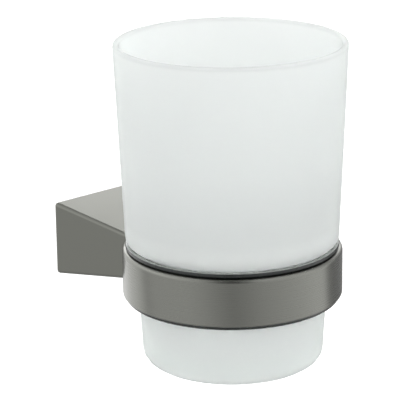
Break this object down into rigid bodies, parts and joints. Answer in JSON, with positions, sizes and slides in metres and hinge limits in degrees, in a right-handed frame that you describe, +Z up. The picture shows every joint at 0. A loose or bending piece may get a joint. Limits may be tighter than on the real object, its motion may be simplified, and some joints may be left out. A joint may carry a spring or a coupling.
{
  "type": "tumbler holder",
  "caption": "Wall-mounted tumbler holder: a frosted glass tumbler hangs by its shoulder in a lined metal ring, carried by a hollow wedge-shaped post.",
  "frame": {"origin": "centre of the wall face: the wall lies at y = 0, and z = 0 is half-way up the ring and the post", "axes": "+Y points into the wall, +Z is up and +X is to the right for someone who faces the wall"},
  "size_m": [0.07, 0.0961, 0.0992],
  "materials": {
    "frosted_glass": "satin-etched on every face, white and barely see-through",
    "liner_plastic": "smooth moulded grey plastic",
    "brushed_gunmetal": "dark satin metal with fine level brushing",
    "plate_zinc": "plain cast zinc",
    "fastener_steel": "bright zinc-plated steel"
  },
  "bodies": {
    "holder": {"holder_ring": "brushed_gunmetal", "tumbler_liner": "liner_plastic", "bracket_post": "brushed_gunmetal", "wall_plate": "plate_zinc", "grub_screw": "fastener_steel", "ring_screw_left": "fastener_steel", "ring_screw_right": "fastener_steel", "ring_washer_left": "fastener_steel", "ring_washer_right": "fastener_steel"},
    "tumbler": {"tumbler": "frosted_glass"}
  },
  "joints": [
    {"name": "tumbler_lift", "type": "slide", "parent": "holder", "child": "tumbler", "axis": [0, 0, 1], "range_m": [0, 0.045]}
  ]
}
